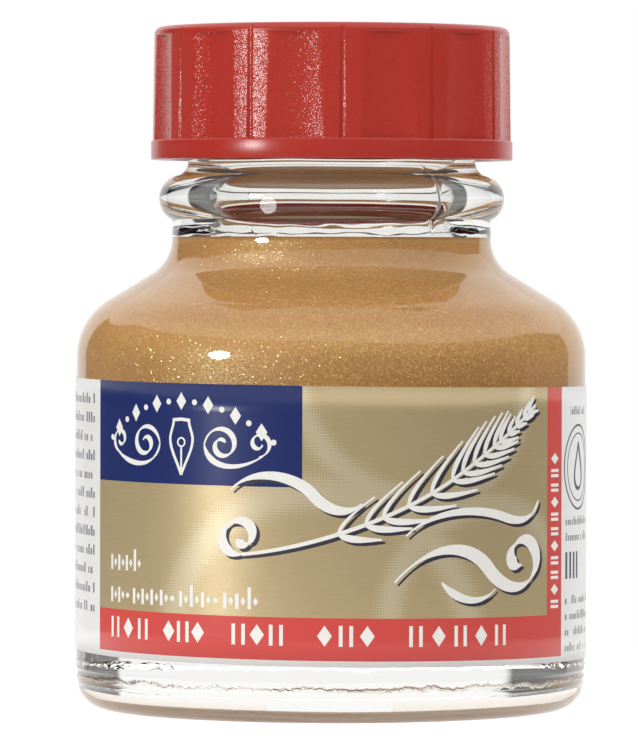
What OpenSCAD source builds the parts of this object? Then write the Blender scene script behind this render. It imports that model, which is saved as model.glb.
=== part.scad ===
// Calligraphy ink bottle: a thick-walled glass bottle filled with metallic ink,
// with a wrap-around label and a ribbed screw cap that seals on a liner wad.
// Millimetres. The bottle stands on z = 0, its axis is Z, and the middle of the
// label's front faces -Y.

/* [Bottle body] */
// Outside diameter of the body
body_d = 44.2; // [43.8:0.1:45]
// Radius of the heel, where the body turns into the base
heel_r = 2.6; // [2:0.1:4]
// Height where the straight body ends and the shoulder begins
shoulder_z = 30.5; // [30:0.1:31]
// Radius of the shoulder's outward curve
shoulder_r = 5.8; // [5.4:0.1:6]
// Height where the shoulder's inward curve has run out into the neck
neck_z = 40.8; // [40.6:0.1:41.4]
// Radius of the shoulder's inward curve
neck_fillet_r = 3.6; // [3:0.1:3.8]
// Outside diameter of the neck below the bead
neck_d = 27.7; // [27.5:0.1:28]
// Depth of the hollow under the base
push_up = 1.6; // [1:0.1:2]

/* [Glass thickness] */
// Thickness of the body's wall
wall = 3.2; // [2.8:0.1:3.4]
// Height of the inside floor at its edge
floor_z = 8; // [7.6:0.1:8.4]
// Radius of the inside corner at the floor
inner_heel_r = 4.5; // [3:0.1:5]
// Diameter of the hole through the neck
bore_d = 21.8; // [21.4:0.1:21.9]

/* [Neck finish] */
// Diameter over the transfer bead
bead_d = 30; // [29.8:0.1:30.2]
// Radius of the bead's rounded edge
bead_r = 2.1; // [2:0.05:2.2]
// Height of the bead's middle
bead_z = 44.25; // [44:0.05:44.4]
// Height of the sealing rim, the top of the glass
rim_z = 57; // [56.8:0.1:57.2]
// Diameter of the finish between the thread's turns
root_d = 25; // [24.8:0.1:25.2]
// Diameter over the thread
thread_d = 27.2; // [26.9:0.1:27.3]
// Height that the thread climbs in one turn, 6 turns to the inch
pitch = 4.2333; // [4.2333]
// Turns of thread on the glass
neck_turns = 1.2; // [1:0.05:1.3]

/* [Screw cap] */
// Height of the cap's lower edge
cap_z = 47.6; // [47.4:0.1:47.8]
// Height of the cap's top face
cap_top_z = 59.1; // [59:0.1:59.4]
// Diameter of the plain band at the cap's lower edge
band_d = 31.4; // [31.2:0.1:31.6]
// Height of that band
band_h = 1.65; // [1.4:0.05:1.8]
// Diameter of the grip just above the band
grip_d = 31.1; // [31:0.05:31.2]
// Diameter of the grip at its top
grip_top_d = 30.85; // [30.7:0.05:30.9]
// Radius of the rounding round the top face
crown_r = 0.65; // [0.6:0.05:0.8]
// Diameter of the hole inside the cap
cap_bore_d = 27.7; // [27.6:0.05:27.8]
// Number of flutes, and of the split ribs between them
flutes = 12; // [10:1:12]
// Part of each flute's pitch that is rib, in degrees of turn
rib_angle = 11.3; // [10:0.1:13]
// Radius that the flutes are hollowed to
flute_r = 13.6; // [12:0.1:15]
// Width of the split down the middle of each rib
split_w = 0.6; // [0.5:0.05:0.9]
// Turn of the first split from the front, anticlockwise from above
split_turn = 3.3; // [0:0.1:30]

/* [Liner, ink and label] */
// Thickness of the liner wad
liner_t = 1; // [0.8:0.05:1.1]
// Height of the ink's surface
ink_z = 40.6; // [38:0.1:42]
// Height of the label's lower edge
label_z = 4.9; // [4.8:0.1:5.4]
// Height of the label
label_h = 23.5; // [22:0.1:24]
// Thickness of the label, with its adhesive
label_t = 0.12; // [0.08:0.01:0.15]
// Gap between the label's two ends at the back, in degrees of turn
label_gap = 10; // [4:1:20]

/* [Hidden] */

body_r = body_d / 2;
neck_r = neck_d / 2;
bore_r = bore_d / 2;
root_r = root_d / 2;
cap_bore_r = cap_bore_d / 2;

// Flat ring that the bottle stands on, between the push-up and the heel
ring_r = body_r - heel_r - 4;

// Rounding of the rim outside and inside
rim_out_r = 0.8;
rim_in_r = 0.6;

// Inside of the shoulder: the outward curve keeps the wall, the inward one is wider
inner_shoulder_r = shoulder_r - wall;
inner_fillet_r = 5;
inner_neck_z = neck_z - 1.3;

// The thread's ridge on the glass: widths at the root and at the crest
ridge_base = 2.4;
ridge_crest = 1;
ridge_start_z = 49.4;

// The matching ridge inside the cap, which bears up against the one on the glass
cap_ridge_base = 1.9;
cap_ridge_crest = 0.8;
cap_ridge_depth = 1;
cap_ridge_drop = 1.6;
cap_turns = 1.25;
cap_ridge_lead = 119;
ridge_steps = 36;
ridge_run_out = 30;

// The liner's seat, and the small lip that keeps it in the cap
seat_gap = 0.02;
liner_r = cap_bore_r - 0.3;
liner_z = rim_z + seat_gap;
cap_ceiling_z = liner_z + liner_t + seat_gap;
lip_r = liner_r - 0.2;
lip_z = rim_z - 1.1;
lip_h = 0.5;

flute_pitch = 360 / flutes;
flute_half = (flute_pitch - rib_angle) / 2;
grip_z = cap_z + band_h;
flute_top_z = cap_top_z - crown_r - 0.1;
edge_break = 0.15;
mouth_break = 0.4;
band_overlap = 0.3;
split_depth = 0.35;
blend_r = 1.2;

$fn = 96;

// Points along an arc in the profile plane, from angle a0 to a1
function arc(c, r, a0, a1, n) =
    [for (i = [0:n]) let (a = a0 + (a1 - a0) * i / n) c + r * [cos(a), sin(a)]];

// An arc of radius r1 about c1 that bulges out, a straight line, and an arc of
// radius r2 about c2 that hollows in, each running smoothly into the next
function tangent_turn(c1, r1, c2, r2) =
    atan2(c2.y - c1.y, c2.x - c1.x) - acos((r1 + r2) / norm(c2 - c1));
function s_curve(c1, r1, c2, r2, n) =
    let (turn = tangent_turn(c1, r1, c2, r2))
    concat(arc(c1, r1, 0, turn, n), arc(c2, r2, 180 + turn, 180, n));

function reversed(p) = [for (i = [len(p) - 1:-1:0]) p[i]];

// Outside of the glass, from the middle of the base up to the rim
function glass_outside() =
    let (
        dome_r = (ring_r * ring_r + push_up * push_up) / (2 * push_up),
        bead_c = [bead_d / 2 - bead_r, bead_z],
        bead_start = -acos((neck_r - bead_c.x) / bead_r),
        blend_x = root_r + blend_r - bead_c.x,
        blend_up = sqrt(pow(bead_r + blend_r, 2) - blend_x * blend_x),
        bead_end = atan2(blend_up, blend_x)
    )
    concat(
        arc([0, push_up - dome_r], dome_r, 90, 90 - asin(ring_r / dome_r), 6),
        arc([body_r - heel_r, heel_r], heel_r, -90, 0, 8),
        s_curve([body_r - shoulder_r, shoulder_z], shoulder_r,
                [neck_r + neck_fillet_r, neck_z], neck_fillet_r, 10),
        arc(bead_c, bead_r, bead_start, bead_end, 14),
        arc(bead_c + [blend_x, blend_up], blend_r, 180 + bead_end, 180, 5),
        arc([root_r - rim_out_r, rim_z - rim_out_r], rim_out_r, 0, 90, 6)
    );

// Inside of the glass, from the middle of the floor up to the rim
function cavity_outline() =
    let (inner_r = body_r - wall)
    concat(
        [[0, floor_z + 0.4]],
        arc([inner_r - inner_heel_r, floor_z + inner_heel_r], inner_heel_r, -90, 0, 8),
        s_curve([inner_r - inner_shoulder_r, shoulder_z], inner_shoulder_r,
                [bore_r + inner_fillet_r, inner_neck_z], inner_fillet_r, 8),
        arc([bore_r + rim_in_r, rim_z - rim_in_r], rim_in_r, 180, 90, 5)
    );

// One raised turn of thread, right-handed, fading in and out at its two ends.
// The root is buried by sink, so that it joins the wall that it grows from.
module thread_ridge(wall_r, height, base, crest, sink, start_z, lead, turns) {
    rings = ceil(ridge_steps * turns);
    function fade(a) = max(0.05, min(1, a / ridge_run_out, (360 * turns - a) / ridge_run_out));
    function section(i) =
        let (
            a = 360 * turns * i / rings,
            f = fade(a),
            z = start_z + pitch * (a + lead) / 360,
            root = wall_r - sign(height) * sink,
            tip = wall_r + height * f,
            wide = base / 2 + sink * (base - crest) / (2 * abs(height)),
            narrow = base / 2 - f * (base - crest) / 2
        )
        [for (p = [[root, -wide], [tip, -narrow], [tip, narrow], [root, wide]])
            [p[0] * cos(a + lead), p[0] * sin(a + lead), z + p[1]]];
    side = height > 0 ? [3, 2, 1, 0] : [0, 1, 2, 3];
    polyhedron(
        points = [for (i = [0:rings]) each section(i)],
        faces = concat(
            [[for (k = [0:3]) side[k]]],
            [for (i = [0:rings - 1]) for (k = [0:3])
                let (a = side[k], b = side[(k + 1) % 4])
                each [[4 * i + b, 4 * i + a, 4 * i + 4 + a],
                      [4 * i + b, 4 * i + 4 + a, 4 * i + 4 + b]]],
            [[for (k = [3:-1:0]) 4 * rings + side[k]]]
        ),
        convexity = 6
    );
}

module bottle() {
    color("azure", 0.45) union() {
        rotate_extrude() polygon(concat(glass_outside(), reversed(cavity_outline())));
        thread_ridge(wall_r = root_r, height = thread_d / 2 - root_r, base = ridge_base,
                     crest = ridge_crest, sink = 0.4, start_z = ridge_start_z,
                     lead = 0, turns = neck_turns);
    }
}

module ink_fill() {
    color("darkgoldenrod") intersection() {
        rotate_extrude() polygon(concat(cavity_outline(), [[0, rim_z]]));
        cylinder(h = ink_z, r = body_r);
    }
}

module label() {
    color("lightgoldenrodyellow")
        rotate([0, 0, 90 + label_gap / 2])
            rotate_extrude(angle = 360 - label_gap)
                translate([body_r, label_z]) square([label_t, label_h]);
}

// Half section of the cap's ribbed grip, its top and its bore, before the flutes are cut.
// It reaches a little way down inside the plain band.
module grip_section() {
    top_r = grip_top_d / 2;
    polygon(concat(
        [
            [cap_bore_r, grip_z - band_overlap],
            [grip_d / 2, grip_z - band_overlap],
            [grip_d / 2, grip_z]
        ],
        arc([top_r - crown_r, cap_top_z - crown_r], crown_r, 0, 90, 6),
        [
            [0, cap_top_z],
            [0, cap_ceiling_z],
            [cap_bore_r, cap_ceiling_z],
            [cap_bore_r, lip_z + lip_h],
            [lip_r, lip_z + lip_h / 2],
            [cap_bore_r, lip_z]
        ]
    ));
}

// Half section of the plain band at the cap's lower edge
module band_section() {
    band_r = band_d / 2;
    polygon([
        [cap_bore_r + mouth_break, cap_z],
        [band_r - edge_break, cap_z],
        [band_r, cap_z + edge_break],
        [band_r, grip_z - edge_break],
        [band_r - edge_break, grip_z],
        [cap_bore_r, grip_z],
        [cap_bore_r, cap_z + mouth_break]
    ]);
}

// The hollow of one flute, which stops below the crown
module flute_cut() {
    edge_r = grip_d / 2;
    reach = edge_r * cos(flute_half) + sqrt(flute_r ^ 2 - (edge_r * sin(flute_half)) ^ 2);
    translate([reach, 0, grip_z - 1]) cylinder(h = flute_top_z - grip_z + 1, r = flute_r);
}

// The split down one rib, which runs out through the crown
module split_cut() {
    edge_r = grip_d / 2;
    slope = split_w / 2 / split_depth;
    reach = split_depth + 1;
    translate([edge_r - split_depth, 0, grip_z - 1])
        linear_extrude(height = cap_top_z - grip_z + 2)
            polygon([[0, 0], [reach, -slope * reach], [reach, slope * reach]]);
}

module fluted_grip() {
    difference() {
        rotate_extrude() grip_section();
        for (i = [0:flutes - 1]) {
            rotate([0, 0, split_turn - 90 + (i + 0.5) * flute_pitch]) flute_cut();
            rotate([0, 0, split_turn - 90 + i * flute_pitch]) split_cut();
        }
    }
}

module cap_shell() {
    color("firebrick") union() {
        fluted_grip();
        rotate_extrude() band_section();
        thread_ridge(wall_r = cap_bore_r, height = -cap_ridge_depth, base = cap_ridge_base,
                     crest = cap_ridge_crest, sink = 0.35,
                     start_z = ridge_start_z - cap_ridge_drop,
                     lead = cap_ridge_lead, turns = cap_turns);
    }
}

module cap_liner() {
    color("whitesmoke") translate([0, 0, liner_z]) cylinder(h = liner_t, r = liner_r);
}

bottle();
ink_fill();
label();
cap_shell();
cap_liner();
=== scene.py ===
"""A small round bottle of gold calligraphy ink with a red screw cap, in a plain white studio.

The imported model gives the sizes, bodies and joints. The pieces made here stand for its plain
solids: the glass, the ink, the printed label and its ornaments, the cap and its liner wad.
"""

import math
import random

import bpy
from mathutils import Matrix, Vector, noise


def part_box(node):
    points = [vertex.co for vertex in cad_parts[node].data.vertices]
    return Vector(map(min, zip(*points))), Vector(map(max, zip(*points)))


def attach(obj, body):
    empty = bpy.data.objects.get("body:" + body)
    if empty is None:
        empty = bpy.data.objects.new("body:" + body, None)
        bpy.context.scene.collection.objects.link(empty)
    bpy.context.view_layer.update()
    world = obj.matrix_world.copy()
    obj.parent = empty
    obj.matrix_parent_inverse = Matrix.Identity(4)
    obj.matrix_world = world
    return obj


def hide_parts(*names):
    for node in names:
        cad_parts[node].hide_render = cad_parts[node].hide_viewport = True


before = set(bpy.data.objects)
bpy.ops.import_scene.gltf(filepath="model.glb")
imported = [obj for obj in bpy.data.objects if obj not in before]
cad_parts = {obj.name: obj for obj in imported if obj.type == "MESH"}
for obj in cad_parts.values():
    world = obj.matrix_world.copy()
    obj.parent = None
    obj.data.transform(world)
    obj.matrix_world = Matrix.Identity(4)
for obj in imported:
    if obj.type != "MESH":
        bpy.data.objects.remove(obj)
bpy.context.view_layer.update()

MM = 0.001


def box_mm(node):
    """Lowest and highest corner of a node at rest, in millimetres."""
    low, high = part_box(node)
    return [v / MM for v in low], [v / MM for v in high]


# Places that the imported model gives, in millimetres
BODY_R, _, RIM_Z = box_mm("bottle")[1]
FLOOR_Z, INK_Z = (corner[2] for corner in box_mm("ink_fill"))
LABEL_Z, LABEL_TOP_Z = (corner[2] for corner in box_mm("label"))
CAP_Z = box_mm("cap_shell")[0][2]
BAND_R, _, CAP_TOP_Z = box_mm("cap_shell")[1]
LINER_Z = box_mm("cap_liner")[0][2]
LINER_R, _, LINER_TOP_Z = box_mm("cap_liner")[1]

# Glass: the shape of the bottle between those places
HEEL_R = 2.6
RING_W = 4.0
PUSH_UP = 1.6
SHOULDER_Z = 30.5
SHOULDER_R = 5.8
NECK_R = 13.85
NECK_Z = 40.8
NECK_FILLET_R = 3.6
WALL = 3.2
FLOOR_CROWN = 0.4
INNER_HEEL_R = 4.5
INNER_FILLET_R = 5.0
BORE_R = 10.9
BEAD_R = 15.0
BEAD_ROUND = 2.1
BEAD_Z = 44.25
BLEND_R = 1.2
ROOT_R = 12.5
THREAD_H = 1.1
THREADS_PER_INCH = 6
PITCH = 25.4 / THREADS_PER_INCH
THREAD_Z = 49.4
THREAD_TURNS = 1.2
RIM_OUT = 0.8
RIM_IN = 0.6
KNURLS = 72
KNURL_DEPTH = 0.12
SEAM_TURN = -52.0
SEAM_LOW_Z = 38.0
SEAM_H = 0.07

# Label: its sheet, and the skew it was put on with
SHEET_T = 0.1
SHEET_GAP = 10.0
SKEW = -0.0101
PRINT_R = BODY_R + SHEET_T
FRONT_HALF = 24.25
STRIPE_W = 2.55
NAVY_RIGHT = -2.4
NAVY_LOW = 19.9
BAND_LOW = 5.4
BAND_HIGH = 9.0
BAR, LOZENGE, DOT = range(3)

# Cap: ribs, flutes and the inside
FLUTES = 12
FLUTE_PITCH = 360 / FLUTES
RIB_ANGLE = 11.3
FLUTE_R = 13.6
SPLIT_HALF = 0.3
SPLIT_DEPTH = 0.35
SPLIT_TURN = 3.3
BAND_H = 1.65
GRIP_R = 15.55
GRIP_TOP_R = 15.425
CROWN_R = 0.65
CAP_BORE_R = 13.85
CAP_RIDGE_H = 1.0
CAP_RIDGE_DROP = 1.6
CAP_RIDGE_LEAD = 119.0
CAP_TURNS = 1.25


# ---------------------------------------------------------------- small helpers


def arc(centre, radius, start, end, steps):
    """Points (r, z) along an arc, angles in degrees."""
    points = []
    for i in range(steps + 1):
        a = math.radians(start + (end - start) * i / steps)
        points.append((centre[0] + radius * math.cos(a), centre[1] + radius * math.sin(a)))
    return points


def line(a, b, steps):
    """Points from a to b, both included."""
    return [
        (a[0] + (b[0] - a[0]) * i / steps, a[1] + (b[1] - a[1]) * i / steps)
        for i in range(steps + 1)
    ]


def s_curve(c1, r1, c2, r2, steps):
    """A bulging arc, a straight line and a hollow arc, each running smoothly into the next."""
    dx, dz = c2[0] - c1[0], c2[1] - c1[1]
    turn = math.degrees(math.atan2(dz, dx) - math.acos((r1 + r2) / math.hypot(dx, dz)))
    first = arc(c1, r1, 0, turn, steps)
    last = arc(c2, r2, 180 + turn, 180, steps)
    return first + line(first[-1], last[0], 4)[1:-1] + last


def tidy(points):
    """The outline without points that repeat."""
    kept = [points[0]]
    for p in points[1:]:
        if math.dist(p, kept[-1]) > 1e-4:
            kept.append(p)
    return kept


def keep(name, data):
    """A new object in the scene."""
    made = bpy.data.objects.new(name, data)
    bpy.context.scene.collection.objects.link(made)
    return made


def mesh_piece(name, vertices, faces):
    """A smooth object at the origin from vertices in millimetres."""
    mesh = bpy.data.meshes.new(name)
    mesh.from_pydata([(x * MM, y * MM, z * MM) for x, y, z in vertices], [], faces)
    mesh.validate()
    for polygon in mesh.polygons:
        polygon.use_smooth = True
    return keep(name, mesh)


def lathe(name, outline, angles, place=None, closed=False):
    """Turns an outline about Z. place(r, z, angle, index) may move each point.

    The outline runs anticlockwise in the (r, z) plane, so that faces point outwards. Its ends
    are poles where their radius is 0; a closed outline joins its last point to its first.
    """
    vertices, rings = [], []
    for i, (r, z) in enumerate(outline):
        if r < 1e-6:
            rings.append([len(vertices)])
            vertices.append((0.0, 0.0, z))
            continue
        ring = []
        for angle in angles:
            rr, zz = place(r, z, angle, i) if place else (r, z)
            a = math.radians(angle)
            ring.append(len(vertices))
            vertices.append((rr * math.cos(a), rr * math.sin(a), zz))
        rings.append(ring)
    faces = []
    pairs = list(zip(rings, rings[1:]))
    if closed:
        pairs.append((rings[-1], rings[0]))
    n = len(angles)
    for low, high in pairs:
        for k in range(n):
            j = (k + 1) % n
            if len(low) == 1 and len(high) == 1:
                continue
            if len(low) == 1:
                faces.append((low[0], high[j], high[k]))
            elif len(high) == 1:
                faces.append((low[k], low[j], high[0]))
            else:
                faces.append((low[k], low[j], high[j], high[k]))
    return mesh_piece(name, vertices, faces)


def even_angles(count):
    """Turns from 0 up to but not including 360 degrees."""
    return [360 * k / count for k in range(count)]


def ridge_height(z, angle, start_z, lead, turns, height, base, crest):
    """How far a screw thread stands out of its wall at one point. Right-handed."""
    best = 0.0
    for wrap in range(-1, 3):
        along = angle + 360 * wrap - lead
        if not 0 <= along <= 360 * turns:
            continue
        fade = min(1.0, along / 30, (360 * turns - along) / 30)
        fade = fade * fade * (3 - 2 * fade)
        off = abs(z - (start_z + PITCH * (along + lead) / 360))
        t = (base / 2 - off) / ((base - crest) / 2)
        t = max(0.0, min(1.0, t))
        best = max(best, height * fade * t * t * (3 - 2 * t))
    return best


# ---------------------------------------------------------------- node building


class Field:
    """A number that varies from place to place. Sums with it add the maths nodes they need."""

    def __init__(self, tree, socket):
        self.tree, self.socket = tree, socket

    def __add__(self, other):
        return maths("ADD", self, other)

    def __sub__(self, other):
        return maths("SUBTRACT", self, other)

    def __rsub__(self, other):
        return maths("SUBTRACT", other, self)

    def __mul__(self, other):
        return maths("MULTIPLY", self, other)

    def __truediv__(self, other):
        return maths("DIVIDE", self, other)

    def __gt__(self, other):
        return maths("GREATER_THAN", self, other)

    def __lt__(self, other):
        return maths("LESS_THAN", self, other)

    def __abs__(self):
        return maths("ABSOLUTE", self)

    __radd__, __rmul__ = __add__, __mul__

    def clamped(self):
        """Kept between 0 and 1."""
        self.socket.node.use_clamp = True
        return self


def maths(operation, *values):
    """The result of one maths node on fields and plain numbers."""
    tree = next(value.tree for value in values if isinstance(value, Field))
    inputs = {f"_{i}": value for i, value in enumerate(values)}
    node = add(tree, "ShaderNodeMath", operation=operation, **inputs)
    return Field(tree, node.outputs[0])


def largest(first, *others):
    """The largest of some fields at each place."""
    for other in others:
        first = maths("MAXIMUM", first, other)
    return first


def feed(tree, node, **values):
    """Links fields and sockets to a node's inputs, or sets plain values on them.

    An input goes by its name, with _ for a space, or by its number, such as _0.
    """
    for key, value in values.items():
        socket = node.inputs[int(key[1:]) if key[0] == "_" else key.replace("_", " ")]
        if isinstance(value, Field):
            value = value.socket
        if isinstance(value, bpy.types.NodeSocket):
            tree.links.new(value, socket)
        else:
            socket.default_value = value


def add(tree, kind, **values):
    """A node. Values name its settings, or else its inputs."""
    node = tree.nodes.new(kind)
    inputs = {}
    for key, value in values.items():
        if key in node.bl_rna.properties:
            setattr(node, key, value)
        else:
            inputs[key] = value
    feed(tree, node, **inputs)
    return node


def use_group(tree, group, **values):
    """A group placed in a tree of its own kind."""
    node = tree.nodes.new(group.bl_idname.replace("Tree", "Group"))
    node.node_tree = group
    feed(tree, node, **values)
    return node


def coordinates(tree, vector):
    """The three numbers of a vector, as fields."""
    split = add(tree, "ShaderNodeSeparateXYZ", Vector=vector)
    return [Field(tree, socket) for socket in split.outputs]


def cloud(tree, place, scale, detail, roughness=0.5):
    """Soft random variation, about 0.5 in the middle."""
    node = add(tree, "ShaderNodeTexNoise", Vector=place, Scale=scale, Detail=detail,
               Roughness=roughness)
    return Field(tree, node.outputs["Fac"])


def bumped(tree, height, strength, distance, **values):
    """The normal of a surface with a relief in it."""
    node = add(tree, "ShaderNodeBump", Height=height, Strength=strength, Distance=distance,
               **values)
    return node.outputs[0]


def blend_colours(tree, factor, a, b):
    """Colour a where factor is 0, colour b where it is 1."""
    return add(tree, "ShaderNodeMix", data_type="RGBA", _0=factor, _6=a, _7=b).outputs[2]


def rays(tree, *kinds):
    """For each kind of ray, a field that is 1 for such a ray and 0 for the others."""
    node = add(tree, "ShaderNodeLightPath")
    return [Field(tree, node.outputs[f"Is {kind} Ray"]) for kind in kinds]


def object_place(tree):
    """The place on a piece, in metres from the middle of the bottle's base."""
    return add(tree, "ShaderNodeTexCoord").outputs["Object"]


def material(name, **values):
    """A material with its shader's plain values set. Returns (material, tree, shader)."""
    made = bpy.data.materials.new(name)
    made.use_nodes = True
    tree = made.node_tree
    shader = tree.nodes["Principled BSDF"]
    feed(tree, shader, **values)
    return made, tree, shader


def colour(r, g, b):
    """A display colour, 0 to 255 a channel, as a linear one."""
    channels = []
    for v in (r / 255, g / 255, b / 255):
        channels.append(v / 12.92 if v <= 0.04045 else ((v + 0.055) / 1.055) ** 2.4)
    return (*channels, 1.0)


# ---------------------------------------------------------------- shader groups


def shader_group(name, inputs, outputs):
    """An empty shader group with named sockets, {name: default} and {name: kind}.

    Returns the group, its inputs by name and a function that feeds its outputs.
    """
    group = bpy.data.node_groups.new(name, "ShaderNodeTree")
    for label, default in inputs.items():
        kind = "NodeSocketFloat" if default is not None else "NodeSocketVector"
        socket = group.interface.new_socket(label, in_out="INPUT", socket_type=kind)
        if default is not None:
            socket.default_value = default
    for label, kind in outputs.items():
        group.interface.new_socket(label, in_out="OUTPUT", socket_type=kind)
    source, end = add(group, "NodeGroupInput"), add(group, "NodeGroupOutput")
    get = {label: Field(group, source.outputs[label]) for label in inputs}
    return group, get, lambda **values: feed(group, end, **values)


def grain_group():
    """Fine moulded grain: a height, and a mask that breaks up the gloss."""
    group, get, give = shader_group(
        "moulded grain",
        {"Vector": None, "Scale": 5000.0, "Coarseness": 0.5},
        {"Height": "NodeSocketFloat", "Mask": "NodeSocketFloat"},
    )
    fine = cloud(group, get["Vector"], get["Scale"], 2.0, 0.6)
    cells = add(group, "ShaderNodeTexVoronoi", Vector=get["Vector"], Scale=get["Scale"])
    pits = Field(group, cells.outputs["Distance"]) * get["Coarseness"]
    give(Height=fine + pits, Mask=fine)
    return group


def fleck_group():
    """Tiny facets, each tilted its own way: a normal, and a mask of those that stand out."""
    group, get, give = shader_group(
        "tilted facets",
        {"Vector": None, "Normal": None, "Scale": 5000.0, "Tilt": 0.3, "Share": 0.15},
        {"Normal": "NodeSocketVector", "Mask": "NodeSocketFloat"},
    )
    cells = add(group, "ShaderNodeTexVoronoi", Vector=get["Vector"], Scale=get["Scale"])
    centred = add(group, "ShaderNodeVectorMath", operation="SUBTRACT",
                  _0=cells.outputs["Color"], _1=(0.5, 0.5, 0.5))
    picked = add(group, "ShaderNodeTexWhiteNoise", Vector=cells.outputs["Position"])
    mask = Field(group, picked.outputs["Value"]) < get["Share"]
    tilt = mask * get["Tilt"] + get["Tilt"] * 0.2
    lean = add(group, "ShaderNodeVectorMath", operation="SCALE", _0=centred.outputs[0],
               Scale=tilt)
    leaned = add(group, "ShaderNodeVectorMath", operation="ADD", _0=get["Normal"],
                 _1=lean.outputs[0])
    unit = add(group, "ShaderNodeVectorMath", operation="NORMALIZE", _0=leaned.outputs[0])
    give(Normal=unit.outputs[0], Mask=mask)
    return group


def zone_group():
    """1 inside a rectangle of the print, 0 outside."""
    group, get, give = shader_group(
        "print zone",
        {"U": 0.0, "V": 0.0, "Left": 0.0, "Right": 1.0, "Low": 0.0, "High": 1.0},
        {"Mask": "NodeSocketFloat"},
    )
    u, v = get["U"], get["V"]
    give(Mask=(u > get["Left"]) * (u < get["Right"]) * (v > get["Low"]) * (v < get["High"]))
    return group


def word_rows_group():
    """Rows of small blocks in word-like groups, which stand for fine print and say nothing."""
    group, get, give = shader_group(
        "fine print rows",
        {"U": 0.0, "V": 0.0, "Row pitch": 1.6, "Block": 0.6, "Seed": 0.0},
        {"Mask": "NodeSocketFloat"},
    )
    row, column = get["V"] / get["Row pitch"], get["U"] / get["Block"]
    in_row, in_cell = maths("FRACT", row), maths("FRACT", column)
    where = add(group, "ShaderNodeCombineXYZ", X=maths("FLOOR", column), Y=maths("FLOOR", row),
                Z=get["Seed"])
    pick = add(group, "ShaderNodeTexWhiteNoise", Vector=where.outputs[0])
    inked = Field(group, pick.outputs["Value"]) > 0.17
    shape = add(group, "ShaderNodeSeparateColor", Color=pick.outputs["Color"])
    top = (Field(group, shape.outputs[0]) > 0.72) * 0.2 + 0.6
    right = Field(group, shape.outputs[1]) * 0.25 + 0.62
    give(Mask=inked * (in_row > 0.26) * (in_row < top) * (in_cell > 0.1) * (in_cell < right))
    return group


GRAIN = grain_group()
FLECKS = fleck_group()
ZONE = zone_group()
WORD_ROWS = word_rows_group()


# ---------------------------------------------------------------- materials


def clear_glass():
    """Flint glass with faint mould ripple. Direct light passes it, as it does the real wall."""
    made, tree, shader = material(
        "clear flint glass", Base_Color=(0.968, 0.97, 0.95, 1), Roughness=0.0, IOR=1.52,
        Transmission_Weight=1.0,
    )
    place = object_place(tree)
    ripple = bumped(tree, cloud(tree, place, 140.0, 1.0), 0.25, 0.00012)
    # The crinkled line round the heel where the base plate of the mould met its sides
    line_z, wander, sharpness = HEEL_R + 0.35, 1.6, 5.0
    crinkle = cloud(tree, place, 420.0, 5.0, 0.7) - 0.5
    off = coordinates(tree, place)[2] * (1 / MM) - line_z + crinkle * wander
    patches = (cloud(tree, place, 130.0, 2.0) * 3.0 - 0.9).clamped()
    seam = (1.0 - abs(off * sharpness)).clamped() * patches
    feed(tree, shader, Normal=bumped(tree, seam, 1.0, 0.00008, Normal=ripple))
    clear = add(tree, "ShaderNodeBsdfTransparent", Color=(0.97, 0.98, 0.97, 1))
    mixed = add(tree, "ShaderNodeMixShader", _0=largest(*rays(tree, "Shadow", "Diffuse")),
                _1=shader.outputs[0], _2=clear.outputs[0])
    feed(tree, tree.nodes["Material Output"], Surface=mixed.outputs[0])
    return made


def gold_ink():
    """Opaque gold ink: a warm body full of fine mica, with brighter flakes here and there."""
    made, tree, shader = material("gold ink", IOR=1.9, Specular_Tint=(0.85, 0.85, 0.5, 1.0))
    place = object_place(tree)
    flakes = use_group(tree, FLECKS, Vector=place, Scale=10500.0, Tilt=0.6, Share=0.4,
                       Normal=add(tree, "ShaderNodeNewGeometry").outputs["Normal"])
    mica = Field(tree, flakes.outputs["Mask"])
    grit = (cloud(tree, place, 9000.0, 1.0) * 3.0 - 1.05).clamped()
    body = blend_colours(tree, cloud(tree, place, 120.0, 3.0, 0.6), colour(180, 118, 71),
                         colour(189, 130, 81))
    body = blend_colours(tree, grit * 0.34, body, colour(222, 166, 96))
    body = blend_colours(tree, mica * 0.4, body, colour(238, 196, 108))
    feed(tree, shader, Base_Color=body, Roughness=0.4 - mica * 0.22,
         Normal=flakes.outputs["Normal"])
    return made


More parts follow.
